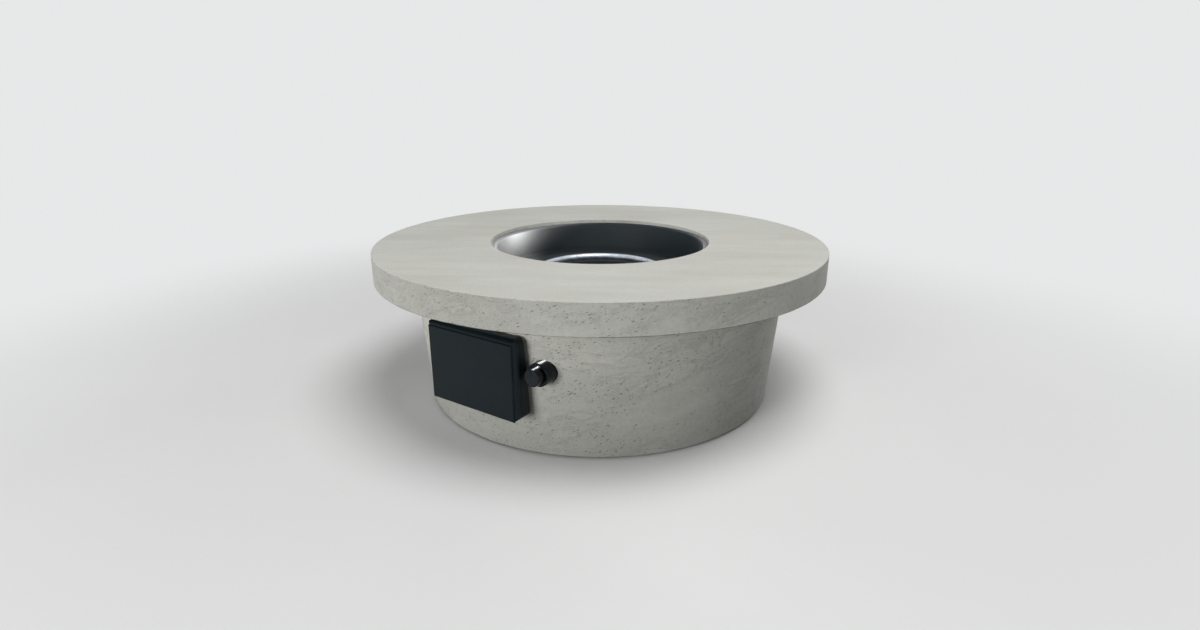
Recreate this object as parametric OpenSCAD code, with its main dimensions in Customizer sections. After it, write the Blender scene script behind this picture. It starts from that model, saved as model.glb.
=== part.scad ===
// Round concrete gas fire pit table: a slab with a drop-in burner pan on a tapered drum,
// with a control box and a gas knob on the drum's front.
// Millimetres. Origin on the floor under the centre, +Z up, -Y is the front with the control box.

/* [Table top] */
// Diameter of the slab
top_d = 1220; // [1150:10:1300]
// Thickness of the slab
top_t = 73; // [65:1:85]
// Diameter of the opening in the slab
opening_d = 603; // [590:1:620]
// Bevel along the slab's edges
top_bevel = 1.2; // [0.4:0.2:3]
// Depth of the pan's rim below the slab's top
rim_drop = 9.5; // [6:0.5:14]
// Width of the ledge that carries the pan's rim
ledge_w = 11.5; // [10.5:0.5:12.5]
// Width of the solid ring round the opening, under the ledge
neck_w = 38; // [25:1:60]
// Depth of the hollow cast in the slab's underside
relief_depth = 40; // [20:1:48]
// Width of the slab's seat on the drum, measured in from the drum's top edge
slab_seat_w = 90; // [82:1:100]

/* [Base drum] */
// Height of the drum
drum_h = 338.5; // [330:0.5:360]
// Diameter of the drum at its top
drum_top_d = 1016; // [1000:2:1040]
// Diameter of the drum at its bottom
drum_bottom_d = 960; // [950:2:980]
// Thickness of the drum's wall
drum_wall = 30; // [26:1:34]
// Width of the flange at the drum's top
flange_w = 80; // [75:1:85]
// Thickness of the flange at the drum's top
flange_t = 28; // [20:1:34]
// Width of the haunch in the corner under the top flange
haunch_w = 10; // [6:1:10]
// Height of the haunch under the top flange
haunch_h = 16; // [8:1:30]
// Width of the toe at the drum's bottom
toe_w = 85; // [80:1:100]
// Thickness of the toe at the drum's bottom
toe_t = 30; // [24:1:30]
// Thickness of the seating tape between drum and slab
seat_t = 1.5; // [1:0.5:3]
// Width of the seating tape
seat_w = 24; // [15:1:30]
// Distance of the seating tape from the drum's top edge
seat_inset = 3; // [1:0.5:6]

/* [Feet] */
// Number of foot pads
foot_count = 6; // [4:1:8]
// Diameter of a foot pad
foot_d = 60; // [40:2:64]
// Height of the drum's bottom above the floor
foot_show = 5; // [3:0.5:10]
// Depth of a foot pad's recess in the toe
foot_recess = 3; // [2:0.5:6]
// Diameter of a foot pad's stud
foot_stud_d = 10; // [6:1:14]
// Length of a foot pad's stud
foot_stud_l = 14; // [8:1:18]

/* [Slab bolts] */
// Number of bolts that hold the slab
bolt_count = 6; // [4:1:8]
// Diameter of a slab bolt
bolt_d = 7.8; // [5.8:0.2:9.8]
// Diameter of a slab bolt's washer face
bolt_washer_d = 20; // [16:1:24]
// Thickness of a slab bolt's washer face
bolt_washer_t = 2; // [1:0.5:3]
// Width of a slab bolt's head across its corners
bolt_head_d = 15; // [12:0.5:15.5]
// Height of a slab bolt's head
bolt_head_h = 5.5; // [4:0.5:8]
// Diameter of a threaded insert in the slab
insert_d = 16; // [14:1:20]
// Length of a threaded insert
insert_l = 34; // [30:1:40]
// Depth that a slab bolt reaches into its insert
bolt_grip = 26; // [15:1:28]

/* [Burner pan] */
// Depth of the pan's floor below the slab's top
pan_depth = 111.5; // [100:0.5:120]
// Thickness of the pan's sheet
pan_sheet = 1.5; // [1:0.25:2.5]
// Radius of the bend between the pan's rim and wall
pan_lip_r = 6; // [5:0.5:7]
// Radius between the pan's wall and floor
pan_floor_r = 14; // [6:1:24]
// Slope of the pan's wall from the vertical, in degrees
pan_draft = 3; // [0:0.5:6]
// Number of drain holes in the pan's floor
drain_count = 6; // [3:1:10]
// Diameter of a drain hole
drain_d = 8; // [5:1:12]
// Radius of the circle of drain holes
drain_circle_r = 225; // [195:5:235]

/* [Burner] */
// Radius of the burner ring to the middle of its tube
ring_r = 176; // [168:0.5:182]
// Diameter of the ring's tube
ring_tube_d = 19; // [16:0.5:19.5]
// Wall of the ring's tube
ring_wall = 1.5; // [1:0.25:2.5]
// Gap between the pan's floor and the ring
ring_gap = 10; // [9.5:0.5:12]
// Number of flame ports in the ring
port_count = 40; // [24:2:60]
// Diameter of a flame port
port_d = 3; // [2:0.5:4]
// Tilt of the flame ports from straight up, towards the middle, in degrees
port_tilt = 50; // [20:5:80]
// Direction of the crossbar, in degrees from +X
bar_turn = 34; // [0:1:60]
// Diameter of the crossbar
bar_d = 16; // [12:0.5:16]
// Diameter of the hub
hub_d = 32; // [28:1:36]
// Height of the hub
hub_h = 21; // [21:1:26]
// Outer diameter of the gas nipple
nipple_d = 21.2; // [18:0.2:22]
// Wall of the gas nipple
nipple_wall = 2.7; // [2:0.1:3.5]
// Length of the gas nipple
nipple_l = 48; // [46:1:56]
// Height of a pan locknut
locknut_h = 8; // [6:0.5:9]
// Width of a pan locknut across its corners
locknut_d = 36; // [32:1:42]

/* [Air mixer] */
// Diameter of the mixer
mixer_d = 30; // [28:1:34]
// Length of the mixer
mixer_l = 60; // [54:1:64]
// Length of the nipple inside the mixer
mixer_grip = 13; // [9:1:16]
// Width of an air window
window_w = 8; // [5:0.5:10]
// Height of an air window
window_h = 13; // [8:0.5:15]
// Wall of the air shutter
shutter_wall = 2; // [1.5:0.25:3]
// Height of the air shutter
shutter_h = 20; // [18:1:22]
// Reach of the shutter's tab
shutter_tab = 9; // [6:1:12]
// Diameter of the orifice elbow's body
elbow_d = 22; // [20:1:24]
// Length of the elbow's neck between its body and the mixer
elbow_neck = 4; // [2:0.5:8]
// Reach of the elbow's side arm from the table's axis
elbow_reach = 40; // [38:1:50]

/* [Gas lines] */
// Outer diameter of the tube from the valve to the burner
feed_d = 10; // [8:0.5:12]
// Wall of the feed tube
feed_wall = 1; // [0.75:0.25:1.5]
// Outer diameter of the supply line
line_d = 16; // [14:0.5:17]
// Wall of the supply line
line_wall = 1.5; // [1:0.25:2]
// Bend radius of the supply line
line_bend_r = 35; // [30:1:45]
// Height of the supply line above the toe
line_rise = 20; // [19:1:30]
// Diameter of the inlet's thread on the outside
inlet_d = 15.8; // [14:0.2:18]
// Length of the inlet's thread on the outside
inlet_l = 16; // [12:1:20]
// Diameter of the inlet's tube through the wall
inlet_tube_d = 20; // [18:0.5:22]
// Width of the inlet's flange and nut across their corners
inlet_nut_d = 32; // [30:1:36]
// Thickness of the inlet's flange
inlet_flange_t = 8; // [5:1:10]
// Length of the inlet elbow's side arm
inlet_arm = 28; // [26:1:36]

/* [Gas valve] */
// Gap between the box's side and the collar
collar_gap = 5.3; // [4.5:0.1:9]
// Height of the knob's axis above the drum's bottom
knob_h = 214.5; // [208:0.5:222]
// Distance of the collar's front from the table's axis
collar_front = 492.8; // [490:0.2:500]
// Diameter of the collar
collar_d = 55.4; // [52:0.2:60]
// Diameter of the collar's mouth
collar_mouth_d = 42.8; // [42:0.2:46]
// Depth of the collar's mouth
collar_mouth_depth = 14; // [12:0.5:18]
// Thickness of the collar's web
collar_web_t = 4; // [3:0.5:6]
// Wall of the collar behind its web
collar_wall = 3.4; // [2.4:0.2:4]
// Width of the collar's flange
collar_flange_w = 8.5; // [8:0.5:9]
// Thickness of the collar's flange
collar_flange_t = 4; // [3:0.5:6]
// Diameter of the knob
knob_d = 40.6; // [36:0.2:41]
// Length of the knob that shows in front of the collar
knob_show = 21; // [16:0.5:26]
// Length of the knob inside the collar's mouth
knob_sunk = 6; // [5:0.5:7]
// Travel of the knob when it is pushed
knob_travel = 4; // [2:0.5:4]
// Wall of the knob's skirt
knob_wall = 3; // [2:0.25:4]
// Diameter of the knob's hub
knob_hub_d = 17; // [14:0.5:20]
// Diameter of the valve's stem
stem_d = 8; // [7:0.5:9]
// Diameter of the valve's barrel
valve_d = 34; // [30:1:36]
// Length of the valve's barrel
valve_l = 44; // [40:1:50]
// Diameter of the valve's front bushing
bushing_d = 20; // [16:1:20]
// Length of the bushing in front of the plate
bushing_l = 11; // [10:1:14]

/* [Control plate] */
// Distance of the plate's front from the table's axis
plate_front = 404; // [402:0.5:406]
// Thickness of the plate
plate_t = 3; // [2:0.5:4]
// Reach of the plate to the left of the box's middle
plate_left = 112; // [110:1:116]
// Reach of the plate past the knob's axis
plate_past = 43; // [40:1:44]
// Height of the plate
plate_h = 150; // [146:1:156]
// Height of the plate's arm behind the valve
plate_arm_h = 86; // [80:1:92]
// Depth of the folded lip along the plate's lower edge
plate_lip = 14; // [8:1:20]
// Radius of the corners of the plate, the seal and the opening behind the box
plate_corner_r = 7; // [4:0.5:10]

/* [Control box] */
// Width of the box
box_w = 270; // [262:1:274]
// Height of the raised face on the box's front
box_h = 182; // [178:1:188]
// Width of the raised face
face_w = 254; // [246:1:256]
// Height of the raised face above the cover's front
face_raise = 3; // [2:0.5:3.5]
// Rise of the box's top above the raised face
box_crown = 12; // [8:1:14]
// Height of the raised face's middle above the drum's bottom
box_mid = 193.5; // [188:0.5:198]
// Distance of the box's front from the table's axis
box_front = 530; // [527:0.5:534]
// Depth of the hinged cover
cover_depth = 20.2; // [19:0.2:21]
// Gap between the cover and the housing
cover_gap = 0.8; // [0.5:0.1:1.2]
// Wall of the cover and the housing
box_wall = 2.5; // [2:0.25:3]
// Radius of the box's corners
box_corner_r = 15; // [8:1:16]
// Radius of the raised face's edges and of the cover's lower front edge
box_edge_r = 3; // [1.5:0.5:3]
// Radius of the cover's upper and upright front edges
box_side_r = 15; // [10:1:15]
// Depth of the box's flat back inside the front of the drum's wall
flat_sunk = 7; // [6.5:0.5:9]
// Thickness of the seal between the box and the drum
seal_t = 2; // [1.5:0.25:3]
// Thickness of the inner panel
panel_t = 2; // [1.5:0.25:3]
// Distance of the inner panel behind the housing's front edge
panel_sunk = 2; // [1:0.5:3]
// Distance between the mounting bolts across the box
bolt_span_x = 120; // [112:2:126]
// Distance between the mounting bolts up the box
bolt_span_z = 128; // [124:1:132]
// Diameter of a mounting bolt
mount_bolt_d = 6; // [5:0.5:6.5]
// Diameter of a boss round a mounting bolt
boss_d = 16; // [14:0.5:18]
// Width of the opening in the drum behind the box
hatch_w = 150; // [120:2:160]
// Height of the opening in the drum behind the box
hatch_h = 100; // [80:2:106]

/* [Box hinge] */
// Diameter of the hinge's barrel
barrel_d = 8; // [7:0.5:9]
// Diameter of the hinge's pin
hinge_pin_d = 4; // [3:0.25:4.5]
// Length of one knuckle
knuckle_l = 30; // [24:1:34]
// Number of knuckles
knuckle_count = 5; // [3:2:5]

/* [Igniter] */
// Diameter of the igniter's barrel
igniter_d = 31; // [28:0.5:34]
// Diameter of the igniter's front flange
igniter_flange_d = 38; // [36:1:42]
// Length of the igniter's barrel behind the panel
igniter_l = 62; // [60:1:66]
// Diameter of the button
button_d = 22; // [18:0.5:22.5]
// Height of the button in front of its bezel
button_show = 5.5; // [4.5:0.5:6.5]
// Travel of the button
button_travel = 3.5; // [2:0.5:3.5]
// Diameter of the battery
battery_d = 14.2; // [14:0.1:14.5]
// Length of the battery's case
battery_l = 48; // [47:0.5:49]

/* [Vents] */
// Diameter of a vent's hole in the drum
vent_d = 72; // [60:2:80]
// Width of a vent's flange round its hole
vent_flange_w = 8; // [6:0.5:9]
// Height of the vents above the drum's bottom
vent_mid = 105; // [95:1:130]
// Turn of a vent from the back, in degrees
vent_turn = 40; // [32:1:50]
// Number of slats in a vent
slat_count = 5; // [3:2:7]

/* [Igniter lead] */
// Diameter of the ignition lead
lead_d = 5; // [4:0.5:6]
// Distance of the spark electrode from the table's axis
electrode_r = 128; // [126:1:132]
// Diameter of the electrode's insulator
insulator_d = 7; // [6:0.5:8]
// Diameter of the electrode's rod
rod_d = 2.4; // [2:0.2:3]

/* [Hidden] */
$fn = 96;

// Clearances and the overrun of cuts
overrun = 5;
arc_steps = 6;
run_gap = 0.06;
slip_gap = 0.2;
seat_gap = 0.3;
screw_gap = 0.3;
pan_side_gap = 2;
end_gap = 1;

// Heights
drum_z0 = foot_show;
drum_z1 = drum_z0 + drum_h;
top_z0 = drum_z1 + seat_t;
top_z1 = top_z0 + top_t;
toe_z = drum_z0 + toe_t;
rim_z = top_z1 - rim_drop;
ledge_z = rim_z - pan_sheet;
floor_z = top_z1 - pan_depth;
floor_under_z = floor_z - pan_sheet;
ring_z = floor_z + ring_gap + ring_tube_d / 2;

// Radii
top_r = top_d / 2;
opening_r = opening_d / 2;
drum_top_r = drum_top_d / 2;
drum_bottom_r = drum_bottom_d / 2;
neck_r = opening_r - ledge_w;
relief_in_r = neck_r + neck_w;
relief_out_r = drum_top_r - slab_seat_w;
taper_deg = atan((drum_top_r - drum_bottom_r) / drum_h);
bolt_circle_r = drum_top_r - (flange_w + drum_wall) / 2;
foot_circle_r = drum_bottom_r - toe_w / 2;
rim_r = opening_r - pan_side_gap;
pan_wall_r = neck_r - pan_side_gap - pan_sheet / 2;
ledge_bevel = pan_lip_r - pan_sheet + 2 * seat_gap;

// Control box and valve, in the table's frame
box_z = drum_z0 + box_mid;
box_y = -box_front;
cover_y = box_y + cover_depth;
housing_y = cover_y + cover_gap;
panel_y = housing_y + panel_sunk;
panel_back_y = panel_y + panel_t;
plate_y = -plate_front;
plate_back_y = plate_y + plate_t;
knob_x = box_w / 2 + collar_gap + collar_d / 2;
knob_z = drum_z0 + knob_h;
plate_right = knob_x + plate_past;
collar_y = -collar_front;
knob_y = collar_y - knob_show;
knob_l = knob_show + knob_sunk;
hinge_x = -box_w / 2 - barrel_d / 2 - slip_gap * 2;
hinge_y = cover_y + cover_gap / 2;
bolt_places = [for (sx = [-1, 1], sz = [-1, 1]) [sx * bolt_span_x / 2, box_z + sz * bolt_span_z / 2]];

// Gas valve
valve_port_y = plate_back_y + valve_l / 2;
valve_back_y = plate_back_y + valve_l;
valve_cap_l = 8;
valve_cap_d = 24;
spigot_l = 16;
feed_start_y = valve_back_y + valve_cap_l + spigot_l;
inlet_boss_d = 22;
inlet_boss_l = 30;
supply_top_z = knob_z - inlet_boss_l - spigot_l;
stem_end_y = valve_port_y - stem_d / 2;
stem_front_y = knob_y + knob_wall + stem_d / 2;
stem_flat = stem_d / 4;
stem_flat_l = 20;
stem_disc_d = 14;
stem_disc_t = 3;
stem_disc_in = 2;
stem_disc_y = plate_back_y + stem_disc_in;
washer_d = 18;
washer_t = 2;
stem_collar_d = 12;
bushing_y = plate_y - bushing_l;
spring_l = 29;
washer_y = bushing_y - spring_l - washer_t;
stem_wire = 1.4;
stem_turns = 8;
panel_nut_d = 30;
panel_nut_t = 5;
collar_l = collar_front - plate_front;
collar_flange_d = collar_d + 2 * collar_flange_w;
collar_screw_d = 4;
collar_screw_l = 12;
collar_screw_head_d = 6.6;
collar_screw_head_t = 2.5;
collar_screw_r = collar_d / 2 + collar_screw_head_d / 2 + slip_gap * 2;
collar_screw_count = 3;
collar_bevel = 1.5;
wall_hole_gap = 0.8;
knob_bevel = 1.2;
pointer_w = 1.6;
pointer_depth = 0.8;
knob_screw_d = 4;
knob_screw_at = 15;

// Supply line: the vertical tube under the valve, a bend and an arc along the toe to the back
line_z = toe_z + line_rise;
valve_port_r = norm([knob_x, valve_port_y]);
line_r = sqrt(valve_port_r * valve_port_r - line_bend_r * line_bend_r);
line_start = atan2(valve_port_y, knob_x) + atan(line_bend_r / line_r);
line_end = 90;
flare_nut_l = 22;
flare_nut_d = 26;
feed_nut_l = 18;
feed_nut_d = 18;
clip_turns = [-45, 5, 60];
clip_w = 22;
clip_len = 16;
clip_roof = 3;
clip_foot_w = 18;
clip_foot_t = 4;
clip_screw_d = 5;
clip_screw_l = 18;
clip_screw_head_d = 9;
clip_screw_head_t = 3;

// Gas inlet at the back
inlet_x = -inlet_arm;
inlet_recess_d = 40;
inlet_flat_out = sqrt(pow(drum_r(line_z - inlet_recess_d / 2), 2) - pow(inlet_arm + inlet_recess_d / 2, 2));
inlet_flat_in = drum_r(line_z) - drum_wall + seat_t;
inlet_nut_t = 6;
inlet_reach = 22;
inlet_bore_d = 12;
inlet_socket_d = 28;
inlet_socket_l = 30;
inlet_arm_d = 22;
inlet_cone = 3;

// Burner feed under the pan
mixer_z1 = floor_z + hub_h - nipple_l + mixer_grip;
mixer_z0 = mixer_z1 - mixer_l;
mixer_flange_t = 3;
mixer_flange_d = mixer_d + 2 * shutter_wall + end_gap;
mixer_throat_d = 22;
mixer_foot_h = 5;
shutter_z0 = mixer_z0 + mixer_flange_t + mixer_foot_h;
window_z0 = shutter_z0 + (shutter_h - window_h) / 2;
window_count = 4;
elbow_spigot_d = 16;
elbow_spigot_l = 12;
orifice_d = 2;
feed_z = mixer_z0 - seat_gap - elbow_neck - elbow_d / 2;
feed_bend_r = knob_x - elbow_reach - feed_nut_l / 2;
feed_sides = 20;
feed_steps = 12;
tab_t = 2;
tab_h = 8;

// Spark electrode
insulator_below = 12;
insulator_above = 16;
insulator_z0 = floor_under_z - insulator_below;
insulator_z1 = floor_z + insulator_above;
bracket_t = 1.5;
bracket_w = 14;
bracket_foot = 18;
bracket_h = 15;
bracket_grip_h = 7;
bracket_ring_w = 3;
rod_bend_r = 5;
rod_rise = 3;
spark_gap = 4.5;

// Igniter
igniter_y = panel_y;
igniter_flange_t = 3;
igniter_back_y = igniter_y + igniter_l;
igniter_bezel_d = 34;
igniter_bezel_t = 4;
button_lip_w = 0.9;
button_lip_d = button_d + 2 * button_lip_w;
button_lip_t = 2;
button_room_d = button_lip_d + end_gap;
battery_bore_d = battery_d + 2 * slip_gap;
lip_front_y = igniter_y - igniter_flange_t + seat_gap;
lip_back_y = lip_front_y + button_lip_t;
button_front_y = igniter_y - igniter_flange_t - igniter_bezel_t - button_show;
button_wire = 1;
button_turns = 3;
room_back_y = lip_back_y + button_travel + button_wire * button_turns + slip_gap;
battery_front_y = room_back_y + end_gap;
battery_back_y = battery_front_y + battery_l;
battery_nub_d = 5.4;
battery_nub_l = 1.2;
battery_room_l = 4.5;
igniter_nut_d = 44;
igniter_nut_t = 5;
terminal_d = 6;
terminal_l = 7;
battery_wire = 0.8;
battery_turns = 3;

// Catch, bosses and small fasteners of the box
magnet_d = 12;
magnet_l = 8;
magnet_x = box_w / 2 - box_side_r - magnet_d;
mount_head_d = 11.5;
mount_head_t = 4;
mount_nut_t = 5;
mount_tail = 2;
mount_hole_gap = 0.6;
drum_hole_gap = 2;
pin_head_d = 6.4;
pin_head_t = 1.5;
spacer_d = 14;
grommet_d = 24;
grommet_groove_d = 18;
grommet_side_t = 3;
web_in = 1;
flat_gap = 1.5;
gasket_rim = 8;
gasket_w = hatch_w + 2 * gasket_rim;
gasket_h = bolt_span_z + boss_d;

// Vents
vent_z = drum_z0 + vent_mid;
vent_sunk = 3;
vent_flange_t = 2.5;
vent_wall = 2;
vent_tube_l = 24;
slat_t = 2;
slat_depth = 14;
slat_deg = 40;

// Route of the ignition lead from the igniter to the electrode, as shares of the way back and of the rise
lead_shares = [
    [0, 0], [0.052, 0], [0.11, 0], [0.169, -0.005], [0.253, -0.036], [0.344, -0.087], [0.442, -0.138],
    [0.539, -0.168], [0.636, -0.168], [0.727, -0.128], [0.812, -0.046], [0.89, 0.097], [0.945, 0.281],
    [0.981, 0.505], [0.997, 0.73], [1, 0.872], [1, 1]
];
lead_sides = 8;
lead_steps = 3;
wire_sides = 6;
wire_steps = 14;

function drum_r(z) = drum_bottom_r + (drum_top_r - drum_bottom_r) * (z - drum_z0) / drum_h;

function arc_points(x, y, r, a0, a1) = [
    for (i = [0:arc_steps]) let (a = a0 + (a1 - a0) * i / arc_steps) [x + r * cos(a), y + r * sin(a)]
];

// Outline of a rectangle with round corners, centred on the origin
function round_rect(w, h, r) = concat(
    arc_points(w / 2 - r, h / 2 - r, r, 0, 90),
    arc_points(r - w / 2, h / 2 - r, r, 90, 180),
    arc_points(r - w / 2, r - h / 2, r, 180, 270),
    arc_points(w / 2 - r, r - h / 2, r, 270, 360)
);

// Outline of a rectangle whose two corners at the low end of the first axis are round
function round_nose(len, h, r) = concat(
    [[len, -h / 2], [len, h / 2]],
    arc_points(r, h / 2 - r, r, 90, 180),
    arc_points(r, r - h / 2, r, 180, 270)
);

// One side of the pan's sheet, set back by the given depth, from the rim to the middle
function pan_side(back) = let (
    lip_x = pan_wall_r + pan_lip_r,
    lip_z = rim_z - pan_lip_r,
    low_z = floor_z + pan_floor_r,
    fall = lip_z + pan_lip_r * sin(pan_draft) - low_z + pan_floor_r * sin(pan_draft),
    low_x = lip_x - (pan_lip_r + pan_floor_r) * cos(pan_draft) - fall * tan(pan_draft)
) concat(
    [[rim_r, rim_z - back]],
    arc_points(lip_x, lip_z, pan_lip_r - back, 90, 180 - pan_draft),
    arc_points(low_x, low_z, pan_floor_r + back, -pan_draft, -90),
    [[nipple_d / 2 + screw_gap, floor_z - back]]
);

function reversed(v) = [for (i = [len(v) - 1:-1:0]) v[i]];

// Smooth curve through the points of a route
function smooth(p, steps) = [
    for (i = [0:len(p) - 2], k = [0:steps - 1])
        let (
            a = p[max(i - 1, 0)],
            b = p[i],
            c = p[i + 1],
            d = p[min(i + 2, len(p) - 1)],
            t = k / steps
        )
        b + (c - a) / 2 * t + (a - b * 5 / 2 + c * 2 - d / 2) * t * t
            + ((b - c) * 3 / 2 + (d - a) / 2) * t * t * t,
    p[len(p) - 1]
];

function unit(v) = v / norm(v);

// A tube swept along points, with its sides turned from a fixed direction
module swept(path, r, sides, side_way) {
    last = len(path) - 1;
    rings = [
        for (i = [0:last])
            let (
                way = unit(path[min(i + 1, last)] - path[max(i - 1, 0)]),
                across = unit(cross(way, side_way)),
                up = cross(across, way)
            )
            for (k = [0:sides - 1])
                path[i] + r * (across * cos(360 * k / sides) + up * sin(360 * k / sides))
    ];
    skin = [
        for (i = [0:last - 1], k = [0:sides - 1])
            let (n = (k + 1) % sides, a = i * sides + k, b = i * sides + n, c = a + sides, d = b + sides)
            for (f = [[a, c, b], [b, c, d]]) f
    ];
    start = [for (k = [0:sides - 1]) k];
    finish = [for (k = [sides - 1:-1:0]) last * sides + k];
    polyhedron(points = rings, faces = concat(skin, [start, finish]), convexity = 10);
}

// Coil spring along +Z that fits between two faces the given length apart
module coil(mid_d, wire, len, turns) {
    count = turns * wire_steps;
    room = len - wire - seat_gap;
    swept(
        [
            for (i = [0:count])
                [
                    mid_d / 2 * cos(360 * i / wire_steps),
                    mid_d / 2 * sin(360 * i / wire_steps),
                    (len - room) / 2 + room * i / count
                ]
        ],
        wire / 2, wire_sides, [0, 0, 1]
    );
}

// Places children with their +Z along +Y
module facing_y(x, y, z) {
    translate([x, y, z]) rotate([-90, 0, 0]) children();
}

module rod_y(x, z, y0, y1, d) {
    facing_y(x, y0, z) cylinder(h = y1 - y0, d = d);
}

// A cut along Y that runs past both ends of a stretch
module bore_y(x, z, y0, y1, d) {
    rod_y(x, z, y0 - overrun, y1 + overrun, d);
}

// A cut along Z that runs past both ends of a stretch
module bore_z(z, len, d) {
    translate([0, 0, z - overrun]) cylinder(h = len + 2 * overrun, d = d);
}

module tube_y(x, z, y0, y1, d_out, d_in) {
    difference() {
        rod_y(x, z, y0, y1, d_out);
        bore_y(x, z, y0, y1, d_in);
    }
}

// Places children with their +Z along +X
module facing_x(x, y, z) {
    translate([x, y, z]) rotate([0, 90, 0]) children();
}

module hex(d, h) {
    cylinder(h = h, d = d, $fn = 6);
}

// The drum's outer cone, moved outwards by the given distance
module drum_cone(out) {
    translate([0, 0, drum_z0])
        cylinder(h = drum_h, r1 = drum_bottom_r + out, r2 = drum_top_r + out, $fn = 180);
}

// The room in front of a plane that leans with the drum's front, the given depth inside it
module front_room(depth, z0, z1) {
    translate([-top_r, 0, 0]) rotate([90, 0, 90]) linear_extrude(height = top_d) polygon([
        [depth - drum_r(z0), z0],
        [depth - drum_r(z1), z1],
        [-top_r, z1],
        [-top_r, z0]
    ]);
}

// Extrudes an outline in X and Z from y1 forward to y0
module plate_xz(y0, y1, z) {
    translate([0, y1, z]) rotate([90, 0, 0]) linear_extrude(height = y1 - y0) children();
}

// Places children at the back of the drum's wall, turned round the table, with +Z straight out
module on_back_wall(turn) {
    rotate([0, 0, turn]) translate([0, drum_r(vent_z), vent_z])
        rotate([-90 - taper_deg, 0, 0]) children();
}

module around(count, r) {
    for (i = [0:count - 1]) rotate([0, 0, 360 * (i + 0.5) / count]) translate([r, 0, 0]) children();
}

// Table top and base

module table_top() {
    color("#c9c8c0") difference() {
        rotate_extrude($fn = 180) polygon([
            [neck_r, ledge_z - ledge_bevel],
            [neck_r + ledge_bevel, ledge_z],
            [opening_r, ledge_z],
            [opening_r, top_z1 - top_bevel],
            [opening_r + top_bevel, top_z1],
            [top_r - top_bevel, top_z1],
            [top_r, top_z1 - top_bevel],
            [top_r, top_z0 + top_bevel],
            [top_r - top_bevel, top_z0],
            [relief_out_r, top_z0],
            [relief_out_r, top_z0 + relief_depth],
            [relief_in_r, top_z0 + relief_depth],
            [relief_in_r, top_z0],
            [neck_r, top_z0]
        ]);
        translate([0, 0, top_z0 - overrun]) around(bolt_count, bolt_circle_r)
            cylinder(h = insert_l + slip_gap + overrun, d = insert_d + slip_gap);
    }
}

module top_inserts() {
    color("#b8a060") translate([0, 0, top_z0]) around(bolt_count, bolt_circle_r) difference() {
        cylinder(h = insert_l, d = insert_d);
        translate([0, 0, -overrun]) cylinder(h = overrun + bolt_grip + end_gap, d = bolt_d + slip_gap);
    }
}

module base_drum() {
    haunch_z = drum_z1 - flange_t - haunch_h;
    color("#c2c1b8") difference() {
        rotate_extrude($fn = 180) polygon([
            [drum_bottom_r - toe_w, drum_z0],
            [drum_bottom_r - top_bevel, drum_z0],
            [drum_bottom_r, drum_z0 + top_bevel],
            [drum_top_r, drum_z1],
            [drum_top_r - flange_w, drum_z1],
            [drum_top_r - flange_w, drum_z1 - flange_t],
            [drum_r(drum_z1 - flange_t) - drum_wall - haunch_w, drum_z1 - flange_t],
            [drum_r(haunch_z) - drum_wall, haunch_z],
            [drum_r(toe_z) - drum_wall, toe_z],
            [drum_bottom_r - toe_w, toe_z]
        ]);
        base_holes();
    }
}

module base_holes() {
    through_y = -drum_top_r - overrun;
    back_y = plate_y + overrun;
    front_room(flat_sunk + seal_t, box_z - box_h / 2 - flat_gap, box_z + box_h / 2 + box_crown + flat_gap);
    plate_xz(through_y, back_y, box_z) hatch_outline();
    for (p = bolt_places) rod_y(p[0], p[1], through_y, back_y, mount_bolt_d + drum_hole_gap);
    rod_y(knob_x, knob_z, through_y, back_y, collar_d + 2 * wall_hole_gap);
    for (side = [-1, 1]) on_back_wall(side * vent_turn) {
        translate([0, 0, -drum_wall - 2 * overrun]) cylinder(h = drum_wall + 4 * overrun, d = vent_d);
        translate([0, 0, -vent_sunk])
            cylinder(h = vent_sunk + overrun, d = vent_d + 2 * vent_flange_w + screw_gap * 2);
    }
    rod_y(inlet_x, line_z, inlet_flat_in - drum_wall, drum_top_r, inlet_tube_d + screw_gap * 2);
    rod_y(inlet_x, line_z, inlet_flat_out, drum_top_r, inlet_recess_d);
    rod_y(inlet_x, line_z, line_r, inlet_flat_in, inlet_recess_d);
    translate([0, 0, drum_z1 - flange_t - overrun]) around(bolt_count, bolt_circle_r)
        cylinder(h = flange_t + 2 * overrun, d = bolt_d + drum_hole_gap);
    translate([0, 0, drum_z0 - overrun]) around(foot_count, foot_circle_r) {
        cylinder(h = foot_recess + overrun, d = foot_d + screw_gap * 2);
        cylinder(h = foot_recess + foot_stud_l + screw_gap + overrun, d = foot_stud_d + screw_gap);
    }
    for (turn = clip_turns) at_clip_screw(turn)
        translate([0, 0, -clip_screw_l]) cylinder(h = clip_screw_l + overrun, d = clip_screw_d + screw_gap);
}

module seat_tape() {
    color("#2a2a28") translate([0, 0, drum_z1]) difference() {
        cylinder(h = seat_t, r = drum_top_r - seat_inset, $fn = 180);
        translate([0, 0, -overrun])
            cylinder(h = seat_t + 2 * overrun, r = drum_top_r - seat_inset - seat_w, $fn = 180);
    }
}

module top_bolts() {
    color("#8f9295") translate([0, 0, drum_z1 - flange_t]) around(bolt_count, bolt_circle_r) {
        translate([0, 0, -bolt_washer_t]) cylinder(h = bolt_washer_t, d = bolt_washer_d);
        translate([0, 0, -bolt_washer_t - bolt_head_h]) hex(bolt_head_d, bolt_head_h);
        cylinder(h = flange_t + seat_t + bolt_grip, d = bolt_d);
    }
}

module foot_pads() {
    color("#1c1c1c") around(foot_count, foot_circle_r) {
        cylinder(h = foot_show + foot_recess, d = foot_d);
        cylinder(h = foot_show + foot_recess + foot_stud_l, d = foot_stud_d);
    }
}

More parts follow.
